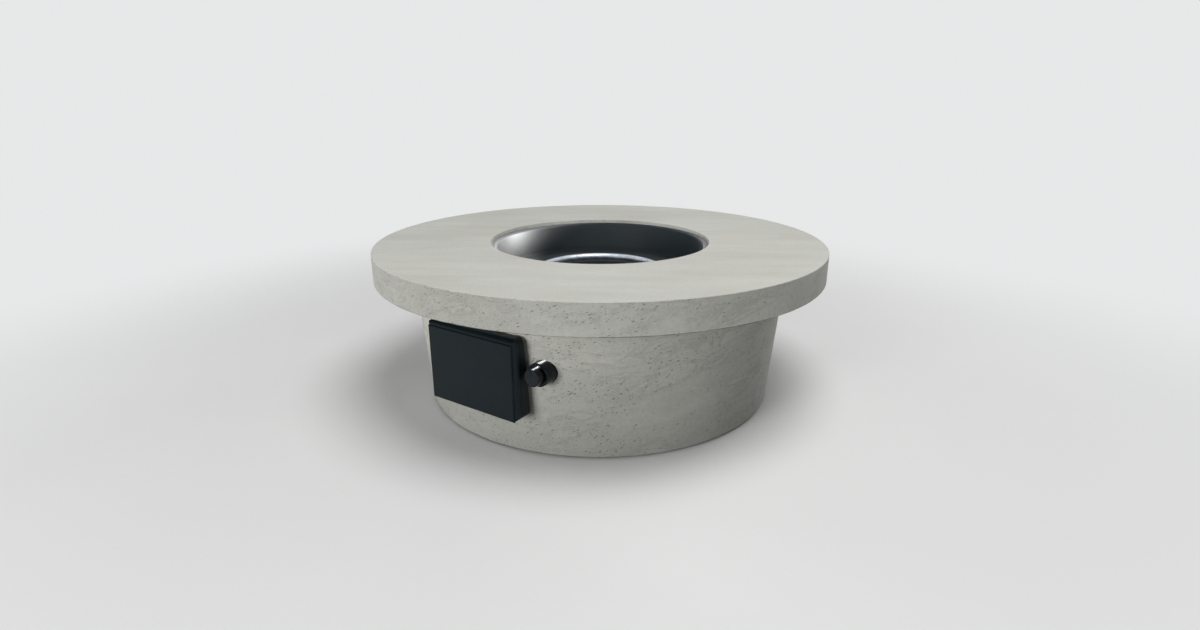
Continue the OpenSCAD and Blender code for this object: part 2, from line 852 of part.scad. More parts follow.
module vent() {
    tube_d = vent_d - 2 * slip_gap;
    pitch = tube_d / (slat_count + 1);
    translate([0, 0, -vent_sunk]) {
        difference() {
            cylinder(h = vent_flange_t, d = vent_d + 2 * vent_flange_w);
            bore_z(0, vent_flange_t, tube_d - 2 * vent_wall);
        }
        translate([0, 0, -vent_tube_l]) difference() {
            cylinder(h = vent_tube_l + vent_flange_t / 2, d = tube_d);
            bore_z(0, vent_tube_l, tube_d - 2 * vent_wall);
        }
        intersection() {
            translate([0, 0, -vent_tube_l]) cylinder(h = vent_tube_l, d = tube_d - vent_wall);
            for (i = [1:slat_count])
                translate([0, i * pitch - tube_d / 2, -slat_depth / 2]) rotate([slat_deg, 0, 0])
                    cube([tube_d, slat_t, slat_depth], center = true);
        }
    }
}

module left_vent() {
    color("#2b2d2f") on_back_wall(vent_turn) vent();
}

module right_vent() {
    color("#2b2d2f") on_back_wall(-vent_turn) vent();
}

// Burner

module burner_pan() {
    color("#2a3033") difference() {
        rotate_extrude($fn = 180) polygon(concat(pan_side(0), reversed(pan_side(pan_sheet))));
        translate([0, 0, floor_under_z - overrun]) {
            around(drain_count, drain_circle_r) cylinder(h = pan_sheet + 2 * overrun, d = drain_d);
            translate([0, -electrode_r, 0])
                cylinder(h = pan_sheet + 2 * overrun, d = insulator_d + screw_gap * 2);
        }
    }
}

module ring_torus(r) {
    translate([0, 0, ring_z]) rotate_extrude($fn = 180)
        translate([ring_r, 0]) circle(r = r, $fn = 48);
}

module burner_ring() {
    color("#b9c2cc") difference() {
        ring_torus(ring_tube_d / 2);
        ring_torus(ring_tube_d / 2 - ring_wall);
        translate([0, 0, ring_z]) around(port_count, ring_r)
            rotate([0, -port_tilt, 0]) cylinder(h = ring_tube_d, d = port_d, $fn = 24);
    }
}

module burner_crossbar() {
    hub_z = floor_z + locknut_h + seat_gap;
    color("#aab2ba") difference() {
        union() {
            translate([0, 0, ring_z]) rotate([0, 90, bar_turn])
                cylinder(h = 2 * ring_r, d = bar_d, center = true);
            translate([0, 0, hub_z]) cylinder(h = hub_h, d = hub_d);
        }
        translate([0, 0, ring_z]) rotate([0, 90, bar_turn])
            cylinder(h = 2 * ring_r, d = bar_d - 2 * ring_wall, center = true);
        ring_torus(ring_tube_d / 2 + run_gap);
        translate([0, 0, hub_z - overrun])
            cylinder(h = hub_h - locknut_h + overrun + seat_gap, d = nipple_d + slip_gap);
    }
}

module burner_nipple() {
    top = floor_z + hub_h;
    color("#9a9c9e") translate([0, 0, top - nipple_l]) difference() {
        cylinder(h = nipple_l, d = nipple_d);
        bore_z(0, nipple_l, nipple_d - 2 * nipple_wall);
    }
}

module locknut(z) {
    translate([0, 0, z]) difference() {
        hex(locknut_d, locknut_h);
        bore_z(0, locknut_h, nipple_d + slip_gap);
    }
}

module pan_locknuts() {
    color("#8f9295") {
        locknut(floor_z);
        locknut(floor_under_z - locknut_h);
    }
}

module air_windows(r) {
    for (i = [0:window_count - 1]) rotate([0, 0, 360 * i / window_count])
        translate([0, -window_w / 2, window_z0]) cube([r + overrun, window_w, window_h]);
}

module air_mixer() {
    color("#c5a45a") difference() {
        union() {
            translate([0, 0, mixer_z0]) cylinder(h = mixer_l, d = mixer_d);
            translate([0, 0, shutter_z0 - mixer_flange_t]) cylinder(h = mixer_flange_t, d = mixer_flange_d);
        }
        bore_z(mixer_z0, mixer_l, elbow_spigot_d + slip_gap);
        translate([0, 0, mixer_z0 + elbow_spigot_l])
            cylinder(h = mixer_l - elbow_spigot_l - mixer_grip - mixer_flange_t, d = mixer_throat_d);
        translate([0, 0, mixer_z1 - mixer_grip]) cylinder(h = mixer_grip + overrun, d = nipple_d + slip_gap);
        air_windows(mixer_d / 2);
    }
}

module air_shutter() {
    out_d = mixer_d + 2 * run_gap + 2 * shutter_wall;
    color("#9da0a2") difference() {
        translate([0, 0, shutter_z0 + seat_gap]) {
            cylinder(h = shutter_h, d = out_d);
            rotate([0, 0, 45]) translate([0, -tab_t / 2, (shutter_h - tab_h) / 2])
                cube([out_d / 2 + shutter_tab, tab_t, tab_h]);
        }
        bore_z(shutter_z0, shutter_h, mixer_d + 2 * run_gap);
        air_windows(out_d / 2);
    }
}

module orifice_elbow() {
    top = mixer_z0 - seat_gap;
    color("#c5a45a") difference() {
        union() {
            translate([0, 0, feed_z]) sphere(d = elbow_d);
            translate([0, 0, feed_z]) cylinder(h = top - feed_z, d = elbow_d);
            translate([0, 0, top]) cylinder(h = elbow_spigot_l, d = elbow_spigot_d);
            facing_x(0, 0, feed_z) cylinder(h = elbow_reach - spigot_l - feed_nut_l / 4, d = elbow_d);
            facing_x(0, 0, feed_z) cylinder(h = elbow_reach, d = feed_d);
        }
        facing_x(0, 0, feed_z) cylinder(h = elbow_reach + overrun, d = feed_d - 2 * feed_wall);
        translate([0, 0, feed_z]) cylinder(h = top - feed_z + elbow_spigot_l + overrun, d = orifice_d);
    }
}

// Gas lines

module line_section(d) {
    circle(d = d, $fn = 32);
}

// Middle of the feed tube: straight out of each nut, sloping to the elbow's height, with one bend
function feed_path(over) = let (
    bend_x = knob_x - feed_bend_r,
    slope_y = feed_start_y + feed_nut_l / 2,
    slope_l = -feed_bend_r - slope_y
) concat(
    [[knob_x, feed_start_y - over, knob_z]],
    [
        for (i = [0:feed_steps]) let (t = i / feed_steps)
            [knob_x, slope_y + slope_l * t, knob_z + (feed_z - knob_z) * (3 - 2 * t) * t * t]
    ],
    [
        for (i = [1:feed_steps]) let (a = 90 * i / feed_steps)
            [bend_x + feed_bend_r * cos(a), feed_bend_r * (sin(a) - 1), feed_z]
    ],
    [[elbow_reach - over, 0, feed_z]]
);

module feed_tube() {
    color("#c0c4c6") difference() {
        swept(feed_path(0), feed_d / 2, feed_sides, [0, 0, 1]);
        swept(feed_path(overrun), feed_d / 2 - feed_wall, feed_sides, [0, 0, 1]);
    }
}

module feed_nuts() {
    color("#c5a45a") {
        difference() {
            facing_y(knob_x, feed_start_y - feed_nut_l / 2, knob_z) hex(feed_nut_d, feed_nut_l);
            translate([0, feed_start_y, 0])
                bore_y(knob_x, knob_z, -feed_nut_l, feed_nut_l, feed_d + 2 * slip_gap);
        }
        difference() {
            facing_x(elbow_reach - feed_nut_l / 2, 0, feed_z) hex(feed_nut_d, feed_nut_l);
            facing_x(elbow_reach - feed_nut_l, 0, feed_z)
                cylinder(h = 2 * feed_nut_l, d = feed_d + 2 * slip_gap);
        }
    }
}

module supply_solid(d, over) {
    drop_z = line_z + line_bend_r;
    rotate([0, 0, line_start]) translate([line_r, 0, drop_z]) {
        translate([0, -line_bend_r, 0])
            linear_extrude(height = supply_top_z - drop_z + over) line_section(d);
        rotate([90, 0, 90]) rotate([0, 0, 180]) rotate_extrude(angle = 90, $fn = 72)
            translate([line_bend_r, 0]) line_section(d);
    }
    rotate([0, 0, line_start]) translate([0, 0, line_z])
        rotate_extrude(angle = line_end - line_start + over, $fn = 120)
            translate([line_r, 0]) line_section(d);
}

module supply_line() {
    color("#b7babc") difference() {
        supply_solid(line_d, 0);
        supply_solid(line_d - 2 * line_wall, overrun);
    }
}

module supply_nuts() {
    color("#c5a45a") {
        difference() {
            translate([knob_x, valve_port_y, supply_top_z - flare_nut_l / 2]) hex(flare_nut_d, flare_nut_l);
            translate([knob_x, valve_port_y, supply_top_z - flare_nut_l])
                cylinder(h = 2 * flare_nut_l, d = line_d + 2 * slip_gap);
        }
        difference() {
            facing_x(-flare_nut_l / 2, line_r, line_z) hex(flare_nut_d, flare_nut_l);
            facing_x(-flare_nut_l, line_r, line_z)
                cylinder(h = 2 * flare_nut_l, d = line_d + 2 * slip_gap);
        }
    }
}

module at_clip_screw(turn) {
    rotate([0, 0, turn]) translate([line_r + clip_w / 2 + clip_foot_w / 2, 0, toe_z]) children();
}

module line_clips() {
    color("#8f9295") difference() {
        for (turn = clip_turns) rotate([0, 0, turn]) translate([line_r - clip_w / 2, -clip_len / 2, toe_z]) {
            cube([clip_w, clip_len, line_rise + line_d / 2 + clip_roof]);
            cube([clip_w + clip_foot_w, clip_len, clip_foot_t]);
        }
        translate([0, 0, line_z]) rotate_extrude($fn = 180)
            translate([line_r, 0]) line_section(line_d + 2 * slip_gap);
        for (turn = clip_turns) at_clip_screw(turn)
            bore_z(0, clip_foot_t, clip_screw_d + screw_gap);
    }
}

module clip_screws() {
    color("#9a9c9e") for (turn = clip_turns) at_clip_screw(turn) {
        translate([0, 0, clip_foot_t]) cylinder(h = clip_screw_head_t, d = clip_screw_head_d);
        translate([0, 0, clip_foot_t - clip_screw_l]) cylinder(h = clip_screw_l, d = clip_screw_d);
    }
}

module inlet_fitting() {
    end_y = inlet_flat_out + inlet_flange_t + inlet_l;
    color("#c5a45a") difference() {
        union() {
            rod_y(inlet_x, line_z, inlet_flat_in - inlet_reach, inlet_flat_out, inlet_tube_d);
            facing_y(inlet_x, inlet_flat_out, line_z) hex(inlet_nut_d, inlet_flange_t);
            rod_y(inlet_x, line_z, inlet_flat_out, end_y, inlet_d);
            facing_y(inlet_x, end_y, line_z)
                cylinder(h = inlet_cone, d1 = inlet_d, d2 = inlet_d - 2 * inlet_cone);
        }
        rod_y(inlet_x, line_z, inlet_flat_in - inlet_reach - overrun, inlet_flat_out, inlet_bore_d);
        bore_y(inlet_x, line_z, inlet_flat_out, end_y, inlet_bore_d / 2);
    }
}

module inlet_locknut() {
    color("#c5a45a") difference() {
        facing_y(inlet_x, inlet_flat_in - inlet_nut_t, line_z) hex(inlet_nut_d, inlet_nut_t);
        bore_y(inlet_x, line_z, inlet_flat_in - inlet_nut_t, inlet_flat_in, inlet_tube_d + slip_gap);
    }
}

module inlet_elbow() {
    tip_y = inlet_flat_in - inlet_reach - slip_gap;
    color("#c5a45a") difference() {
        union() {
            translate([inlet_x, line_r, line_z]) sphere(d = inlet_socket_d);
            rod_y(inlet_x, line_z, line_r, line_r + inlet_socket_l, inlet_socket_d);
            facing_x(inlet_x, line_r, line_z)
                cylinder(h = inlet_arm - flare_nut_l / 2 - seat_gap, d = inlet_arm_d);
            facing_x(inlet_x, line_r, line_z) cylinder(h = inlet_arm, d = line_d);
        }
        rod_y(inlet_x, line_z, tip_y, line_r + inlet_socket_l + overrun, inlet_tube_d + slip_gap);
        rod_y(inlet_x, line_z, line_r, tip_y + overrun, inlet_bore_d);
        facing_x(inlet_x, line_r, line_z) cylinder(h = inlet_arm + overrun, d = inlet_bore_d);
    }
}

// Spark electrode

module electrode_bracket() {
    leaf_y = -electrode_r + insulator_d / 2 + bracket_ring_w / 2;
    color("#9da0a2") difference() {
        union() {
            translate([-bracket_w / 2, leaf_y, floor_z]) cube([bracket_w, bracket_t, bracket_h]);
            translate([-bracket_w / 2, leaf_y, floor_z]) cube([bracket_w, bracket_foot, bracket_t]);
            translate([0, -electrode_r, floor_z + bracket_h - bracket_grip_h])
                cylinder(h = bracket_grip_h, d = insulator_d + 2 * bracket_ring_w);
        }
        translate([0, -electrode_r, floor_z - overrun])
            cylinder(h = bracket_h + 2 * overrun, d = insulator_d + slip_gap);
    }
}

module electrode_insulator() {
    color("#e9e6dc") translate([0, -electrode_r, insulator_z0])
        cylinder(h = insulator_z1 - insulator_z0, d = insulator_d);
}

module electrode_rod() {
    bend_z = insulator_z1 + rod_rise;
    tip_r = ring_r - ring_tube_d / 2 - spark_gap;
    color("#7d7f80") {
        translate([0, -electrode_r, insulator_z1]) cylinder(h = rod_rise, d = rod_d);
        translate([0, -electrode_r - rod_bend_r, bend_z]) rotate([90, 0, 90])
            rotate_extrude(angle = 90) translate([rod_bend_r, 0]) circle(d = rod_d, $fn = 24);
        rod_y(0, bend_z + rod_bend_r, -tip_r, -electrode_r - rod_bend_r, rod_d);
    }
}

module ignition_lead() {
    start = [0, igniter_back_y + terminal_l + slip_gap, box_z];
    way = [0, -electrode_r, insulator_z0 - slip_gap] - start;
    color("#3a3a3a") swept(
        smooth([for (p = lead_shares) start + [0, way[1] * p[0], way[2] * p[1]]], lead_steps),
        lead_d / 2, lead_sides, [1, 0, 0]
    );
}

module lead_grommet() {
    hole_d = lead_d + 2 * screw_gap;
    groove = plate_t + slip_gap;
    color("#1c1c1c") facing_y(0, plate_y - slip_gap / 2, box_z) rotate_extrude() polygon([
        [hole_d / 2, -grommet_side_t],
        [grommet_d / 2, -grommet_side_t],
        [grommet_d / 2, 0],
        [grommet_groove_d / 2 - slip_gap / 2, 0],
        [grommet_groove_d / 2 - slip_gap / 2, groove],
        [grommet_d / 2, groove],
        [grommet_d / 2, groove + grommet_side_t],
        [hole_d / 2, groove + grommet_side_t]
    ]);
}

// Control plate and what clamps it

module control_plate() {
    arm_x = plate_right / 2;
    color("#8a8d90") difference() {
        union() {
            plate_xz(plate_y, plate_back_y, box_z) translate([(arm_x - plate_left) / 2, 0])
                polygon(round_rect(plate_left + arm_x, plate_h, plate_corner_r));
            plate_xz(plate_y, plate_back_y, knob_z) translate([plate_right / 2, 0])
                polygon(round_rect(plate_right, plate_arm_h, plate_corner_r));
            translate([-plate_left + plate_corner_r, plate_y, box_z - plate_h / 2])
                cube([plate_left + arm_x - 2 * plate_corner_r, plate_lip, plate_t]);
        }
        for (p = bolt_places) bore_y(p[0], p[1], plate_y, plate_back_y, mount_bolt_d + mount_hole_gap);
        bore_y(0, box_z, plate_y, plate_back_y, grommet_groove_d);
        bore_y(knob_x, knob_z, plate_y, plate_back_y, bushing_d + mount_hole_gap);
        at_collar_screws() cylinder(h = collar_screw_l, d = collar_screw_d + slip_gap);
    }
}

module spacer_tubes() {
    color("#a5a8aa") intersection() {
        for (p = bolt_places)
            tube_y(p[0], p[1], -drum_top_r, plate_y, spacer_d, mount_bolt_d + mount_hole_gap);
        drum_cone(-drum_wall - seat_gap);
    }
}

module mounting_bolts() {
    color("#9a9c9e") for (p = bolt_places) {
        facing_y(p[0], panel_y - mount_head_t, p[1]) hex(mount_head_d, mount_head_t);
        rod_y(p[0], p[1], panel_y, plate_back_y + mount_nut_t + mount_tail, mount_bolt_d);
    }
}

module mounting_nuts() {
    color("#8f9295") difference() {
        for (p = bolt_places) facing_y(p[0], plate_back_y, p[1]) hex(mount_head_d, mount_nut_t);
        for (p = bolt_places)
            bore_y(p[0], p[1], plate_back_y, plate_back_y + mount_nut_t, mount_bolt_d + slip_gap);
    }
}

// Gas valve, collar and knob

module valve_body() {
    stem_room = knob_travel + end_gap;
    color("#c5a45a") difference() {
        union() {
            rod_y(knob_x, knob_z, plate_back_y, valve_back_y, valve_d);
            rod_y(knob_x, knob_z, bushing_y, plate_back_y, bushing_d);
            rod_y(knob_x, knob_z, valve_back_y, valve_back_y + valve_cap_l, valve_cap_d);
            rod_y(knob_x, knob_z, valve_back_y, feed_start_y, feed_d);
            translate([knob_x, valve_port_y, knob_z - inlet_boss_l])
                cylinder(h = inlet_boss_l, d = inlet_boss_d);
            translate([knob_x, valve_port_y, supply_top_z]) cylinder(h = spigot_l, d = line_d);
        }
        rod_y(knob_x, knob_z, bushing_y - overrun, stem_end_y + stem_room, stem_d + 2 * run_gap);
        rod_y(knob_x, knob_z, stem_disc_y, stem_disc_y + stem_disc_t + stem_room, stem_disc_d + 2 * run_gap);
        bore_y(knob_x, knob_z, valve_back_y, feed_start_y, feed_d - 2 * feed_wall);
        translate([knob_x, valve_port_y, supply_top_z - overrun])
            cylinder(h = spigot_l + inlet_boss_l / 2 + overrun, d = line_d - 2 * line_wall);
    }
}

module valve_panel_nut() {
    color("#b5b8ba") difference() {
        facing_y(knob_x, plate_y - panel_nut_t, knob_z) hex(panel_nut_d, panel_nut_t);
        rod_y(knob_x, knob_z, plate_y - 2 * panel_nut_t, plate_y + overrun, bushing_d + slip_gap);
    }
}

module stem_shape(grow) {
    difference() {
        cylinder(h = stem_flat_l, d = stem_d + grow);
        translate([-stem_d, -stem_d - stem_flat - grow / 2, -overrun])
            cube([2 * stem_d, stem_d, stem_flat_l + 2 * overrun]);
    }
}

module valve_stem() {
    color("#b5b8ba") {
        facing_y(knob_x, stem_front_y, knob_z) stem_shape(0);
        rod_y(knob_x, knob_z, stem_front_y + stem_flat_l, stem_end_y, stem_d);
        rod_y(knob_x, knob_z, washer_y - washer_t, washer_y - run_gap, stem_collar_d);
        rod_y(knob_x, knob_z, stem_disc_y + run_gap, stem_disc_y + stem_disc_t, stem_disc_d);
    }
}

module stem_washer() {
    color("#9da0a2") tube_y(knob_x, knob_z, washer_y, washer_y + washer_t, washer_d, stem_d + 2 * run_gap);
}

module stem_spring() {
    color("#c0c4c6") facing_y(knob_x, washer_y + washer_t, knob_z)
        coil(stem_collar_d + stem_wire, stem_wire, spring_l, stem_turns);
}

module valve_collar() {
    web_0 = collar_mouth_depth;
    web_1 = web_0 + collar_web_t;
    in_r = collar_d / 2 - collar_wall;
    color("#22282b") difference() {
        facing_y(knob_x, collar_y, knob_z) rotate_extrude() polygon([
            [collar_mouth_d / 2 + collar_bevel / 2, 0],
            [collar_d / 2 - collar_bevel, 0],
            [collar_d / 2 - collar_bevel / 3, collar_bevel / 3],
            [collar_d / 2, collar_bevel],
            [collar_d / 2, collar_l - collar_flange_t],
            [collar_flange_d / 2, collar_l - collar_flange_t],
            [collar_flange_d / 2, collar_l],
            [in_r, collar_l],
            [in_r, web_1],
            [stem_d / 2 + screw_gap, web_1],
            [stem_d / 2 + screw_gap, web_0],
            [collar_mouth_d / 2, web_0],
            [collar_mouth_d / 2, collar_bevel / 2]
        ]);
        at_collar_screws() translate([0, 0, -collar_screw_l])
            cylinder(h = 2 * collar_screw_l, d = collar_screw_d + slip_gap);
    }
}

// Places children at the collar's screws, at the flange's front face, with +Z towards the back
module at_collar_screws() {
    for (i = [0:collar_screw_count - 1]) facing_y(knob_x, plate_y - collar_flange_t, knob_z)
        rotate([0, 0, 360 * i / collar_screw_count + 90]) translate([collar_screw_r, 0, 0]) children();
}

module collar_screws() {
    color("#9a9c9e") at_collar_screws() {
        translate([0, 0, -collar_screw_head_t]) cylinder(h = collar_screw_head_t, d = collar_screw_head_d);
        cylinder(h = collar_screw_l, d = collar_screw_d);
    }
}

module control_knob() {
    hub_front = 2 * knob_wall;
    bore_front = stem_front_y - knob_y - slip_gap;
    color("#1f2426") difference() {
        facing_y(knob_x, knob_y, knob_z) difference() {
            rotate_extrude() polygon([
                [0, 0],
                [knob_d / 2 - knob_bevel, 0],
                [knob_d / 2 - knob_bevel / 3, knob_bevel / 3],
                [knob_d / 2, knob_bevel],
                [knob_d / 2, knob_l],
                [knob_d / 2 - knob_wall, knob_l],
                [knob_d / 2 - knob_wall, hub_front],
                [knob_hub_d / 2, hub_front],
                [knob_hub_d / 2, knob_l - knob_wall],
                [0, knob_l - knob_wall]
            ]);
            translate([0, 0, bore_front]) stem_shape(2 * run_gap);
            translate([-pointer_w / 2, -knob_d / 2, -overrun])
                cube([pointer_w, knob_d / 2 - knob_wall, overrun + pointer_depth]);
        }
        translate([knob_x, knob_y + knob_screw_at, knob_z - knob_d])
            cylinder(h = knob_d, d = knob_screw_d + slip_gap);
    }
}

module knob_screw() {
    color("#9a9c9e") translate([knob_x, knob_y + knob_screw_at, knob_z - knob_hub_d / 2])
        cylinder(h = knob_hub_d / 2 - stem_d / 2 - run_gap, d = knob_screw_d);
}

// Control box

module box_outline(inset) {
    translate([0, box_crown / 2])
        polygon(round_rect(box_w - 2 * inset, box_h + box_crown - 2 * inset, box_corner_r - inset));
}

module boss_outline(d) {
    for (p = bolt_places) translate([p[0], p[1] - box_z]) circle(d = d, $fn = 48);
}

module hatch_outline() {
    polygon(round_rect(hatch_w, hatch_h, plate_corner_r));
}

// The knuckles of one side of the hinge, from the given one, every second one
module knuckles(first, side) {
    span = knuckle_count * knuckle_l;
    low_z = box_z - span / 2 + seat_gap / 2;
    for (i = [first:2:knuckle_count - 1]) translate([hinge_x, hinge_y, low_z + i * knuckle_l]) {
        cylinder(h = knuckle_l - seat_gap, d = barrel_d);
        translate([0, side > 0 ? cover_gap / 2 : -barrel_d / 2, 0])
            cube([-box_w / 2 - hinge_x + web_in, barrel_d / 2 - cover_gap / 2, knuckle_l - seat_gap]);
    }
}

module hinge_bore() {
    translate([hinge_x, hinge_y, box_z - box_h / 2])
        cylinder(h = box_h, d = hinge_pin_d + 2 * run_gap);
}

// Side view of the cover, set in by the given wall: a large round above and a small one below
function cover_side(wall) = let (
    low = wall - box_h / 2,
    high = box_h / 2 + box_crown - wall,
    high_r = box_side_r - wall
) concat(
    [[cover_depth, low]],
    arc_points(box_edge_r, low + box_edge_r, box_edge_r, 270, 180),
    arc_points(high_r, high - high_r, high_r, 180, 90),
    [[cover_depth, high]]
);

// Extrudes a side view in Y and Z, from the given front, across the box
module across_box(front_y) {
    translate([-box_w, front_y, box_z]) rotate([90, 0, 90]) linear_extrude(height = 2 * box_w) children();
}

// Extrudes a plan in X and Y, from the given front, up the box
module up_box(front_y) {
    translate([0, front_y, box_z - box_h]) rotate([0, 0, 90]) linear_extrude(height = 2 * box_h) children();
}

// The cover's form behind its raised face, set in by the given wall
module cover_form(wall, back_y) {
    front_y = box_y + face_raise + wall;
    intersection() {
        plate_xz(front_y, back_y, box_z) box_outline(wall);
        up_box(front_y) polygon(round_nose(cover_depth, box_w - 2 * wall, box_side_r - wall));
        across_box(front_y) polygon(cover_side(wall));
    }
}

module cover_face() {
    intersection() {
        translate([-face_w / 2, box_y, box_z - box_h / 2]) cube([face_w, face_raise + box_wall, box_h]);
        up_box(box_y) polygon(round_nose(cover_depth, face_w, box_edge_r));
        across_box(box_y) polygon(round_nose(cover_depth, box_h, box_edge_r));
    }
}

module box_cover() {
    post_y = panel_y - magnet_l - seat_gap;
    color("#262d30") difference() {
        union() {
            difference() {
                union() {
                    cover_form(0, cover_y);
                    cover_face();
                }
                cover_form(box_wall, cover_y + overrun);
            }
            rod_y(magnet_x, box_z, box_y + box_wall / 2, post_y, magnet_d);
            knuckles(1, -1);
        }
        hinge_bore();
    }
}

// The housing's form up to its leaning flat back, set in by the given wall
module housing_form(wall) {
    intersection() {
        plate_xz(housing_y - wall, plate_y, box_z) box_outline(wall);
        front_room(flat_sunk - wall, drum_z0, drum_z1);
    }
}

module box_housing() {
    color("#202528") difference() {
        union() {
            difference() {
                housing_form(0);
                housing_form(box_wall);
            }
            intersection() {
                plate_xz(panel_back_y, plate_y, box_z) boss_outline(boss_d);
                front_room(flat_sunk, drum_z0, drum_z1);
            }
            knuckles(0, 1);
        }
        plate_xz(panel_y, plate_y, box_z) hatch_outline();
        for (p = bolt_places) rod_y(p[0], p[1], housing_y, plate_y, mount_bolt_d + mount_hole_gap);
        hinge_bore();
    }
}

module box_gasket() {
    color("#161616") difference() {
        intersection() {
            plate_xz(housing_y, plate_y, box_z) difference() {
                polygon(round_rect(gasket_w, gasket_h, plate_corner_r));
                hatch_outline();
                boss_outline(mount_bolt_d + mount_hole_gap);
            }
            front_room(flat_sunk + seal_t - seat_gap, drum_z0, drum_z1);
        }
        front_room(flat_sunk + seat_gap, drum_z0 - overrun, drum_z1 + overrun);
    }
}

module inner_panel() {
    color("#5c6164") plate_xz(panel_y, panel_back_y, box_z) difference() {
        box_outline(box_wall + seat_gap);
        boss_outline(mount_bolt_d + mount_hole_gap);
        circle(d = igniter_d + 2 * slip_gap);
    }
}

module hinge_pin() {
    span = knuckle_count * knuckle_l;
    color("#9a9c9e") translate([hinge_x, hinge_y, box_z - span / 2]) {
        cylinder(h = span, d = hinge_pin_d);
        translate([0, 0, -pin_head_t]) cylinder(h = pin_head_t, d = pin_head_d);
        translate([0, 0, span]) cylinder(h = pin_head_t, d = pin_head_d);
    }
}

module catch_magnet() {
    color("#606468") rod_y(magnet_x, box_z, panel_y - magnet_l, panel_y, magnet_d);
}

// Igniter

module igniter_body() {
    color("#2d2f31") difference() {
        union() {
            rod_y(0, box_z, igniter_y - igniter_flange_t, igniter_y, igniter_flange_d);
            rod_y(0, box_z, igniter_y, igniter_back_y, igniter_d);
            rod_y(0, box_z, igniter_back_y, igniter_back_y + terminal_l, terminal_d);
        }
        rod_y(0, box_z, igniter_y - igniter_flange_t - overrun, room_back_y, button_room_d);
        rod_y(0, box_z, igniter_y, battery_back_y + battery_nub_l + battery_room_l, battery_bore_d);
    }
}

module igniter_nut() {
    back_y = panel_back_y + igniter_nut_t;
    color("#3a3d40") tube_y(0, box_z, panel_back_y, back_y, igniter_nut_d, igniter_d + slip_gap);
}

module igniter_bezel() {
    back_y = igniter_y - igniter_flange_t;
    bore_d = button_d + 4 * slip_gap;
    color("#a8acae") tube_y(0, box_z, back_y - igniter_bezel_t, back_y, igniter_bezel_d, bore_d);
}

module igniter_button() {
    color("#c23a2a") {
        rod_y(0, box_z, button_front_y, lip_front_y, button_d);
        rod_y(0, box_z, lip_front_y, lip_back_y, button_lip_d);
    }
}

module button_spring() {
    color("#c0c4c6") facing_y(0, lip_back_y, box_z)
        coil((battery_bore_d + button_room_d) / 2, button_wire, room_back_y - lip_back_y, button_turns);
}

module battery() {
    color("#54595c") {
        rod_y(0, box_z, battery_front_y, battery_back_y, battery_d);
        rod_y(0, box_z, battery_back_y, battery_back_y + battery_nub_l, battery_nub_d);
    }
}

module battery_spring() {
    color("#c0c4c6") facing_y(0, battery_back_y + battery_nub_l, box_z)
        coil(battery_d - 4 * battery_wire, battery_wire, battery_room_l, battery_turns);
}

table_top();
top_inserts();
base_drum();
seat_tape();
top_bolts();
foot_pads();
left_vent();
right_vent();
burner_pan();
burner_ring();
burner_crossbar();
burner_nipple();
pan_locknuts();
air_mixer();
air_shutter();
orifice_elbow();
feed_tube();
feed_nuts();
electrode_bracket();
electrode_insulator();
electrode_rod();
ignition_lead();
lead_grommet();
control_plate();
spacer_tubes();
mounting_bolts();
mounting_nuts();
valve_body();
valve_panel_nut();
valve_stem();
stem_washer();
stem_spring();
valve_collar();
collar_screws();
control_knob();
knob_screw();
box_housing();
box_gasket();
inner_panel();
box_cover();
hinge_pin();
catch_magnet();
igniter_body();
igniter_nut();
igniter_bezel();
igniter_button();
button_spring();
battery();
battery_spring();
inlet_fitting();
inlet_locknut();
inlet_elbow();
supply_line();
supply_nuts();
line_clips();
clip_screws();
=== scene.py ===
import math

import bmesh
import bpy
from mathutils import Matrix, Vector


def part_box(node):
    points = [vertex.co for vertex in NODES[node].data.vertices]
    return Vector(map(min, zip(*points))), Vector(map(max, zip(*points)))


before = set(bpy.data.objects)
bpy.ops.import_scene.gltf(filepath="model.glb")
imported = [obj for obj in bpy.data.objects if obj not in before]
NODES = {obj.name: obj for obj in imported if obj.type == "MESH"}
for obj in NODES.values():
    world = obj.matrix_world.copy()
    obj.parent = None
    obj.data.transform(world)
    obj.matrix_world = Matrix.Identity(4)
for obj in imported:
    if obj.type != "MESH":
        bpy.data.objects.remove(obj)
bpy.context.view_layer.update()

MM = 0.001

BACKGROUND = (0.80, 0.805, 0.81)
CAMERA_PLACE = (1.0123, -1.5064, 0.7883)
CAMERA_AIM = (0, 0, 0.192)
CAMERA_LENS = 19.715
CAMERA_SENSOR = 36.0


# Materials: short helpers that build node trees

def add(tree, kind, inputs=None, **settings):
    """A node of the kind, with its inputs linked or set by name or place."""
    node = tree.nodes.new(kind)
    for key, value in settings.items():
        setattr(node, key, value)
    for key, value in (inputs or {}).items():
        socket = node.inputs[key]
        if isinstance(value, bpy.types.NodeSocket):
            tree.links.new(value, socket)
        elif hasattr(socket.default_value, "__len__") and not hasattr(value, "__len__"):
            socket.default_value = [value] * len(socket.default_value)
        elif hasattr(value, "__len__") and len(socket.default_value) == 4 and len(value) == 3:
            socket.default_value = (*value, 1.0)
        else:
            socket.default_value = value
    return node


def math_node(tree, operation, a, b=None, clamp=False):
    inputs = {0: a} if b is None else {0: a, 1: b}
    return add(tree, "ShaderNodeMath", inputs, operation=operation, use_clamp=clamp).outputs[0]


def ramp(tree, value, low, high, out_low=0.0, out_high=1.0, smooth=True):
    """value mapped from low..high to out_low..out_high."""
    return add(
        tree, "ShaderNodeMapRange",
        {"Value": value, "From Min": low, "From Max": high, "To Min": out_low, "To Max": out_high},
        interpolation_type="SMOOTHSTEP" if smooth else "LINEAR",
    ).outputs["Result"]


def times(tree, a, b):
    return math_node(tree, "MULTIPLY", a, b)


def plus(tree, a, b):
    return math_node(tree, "ADD", a, b)


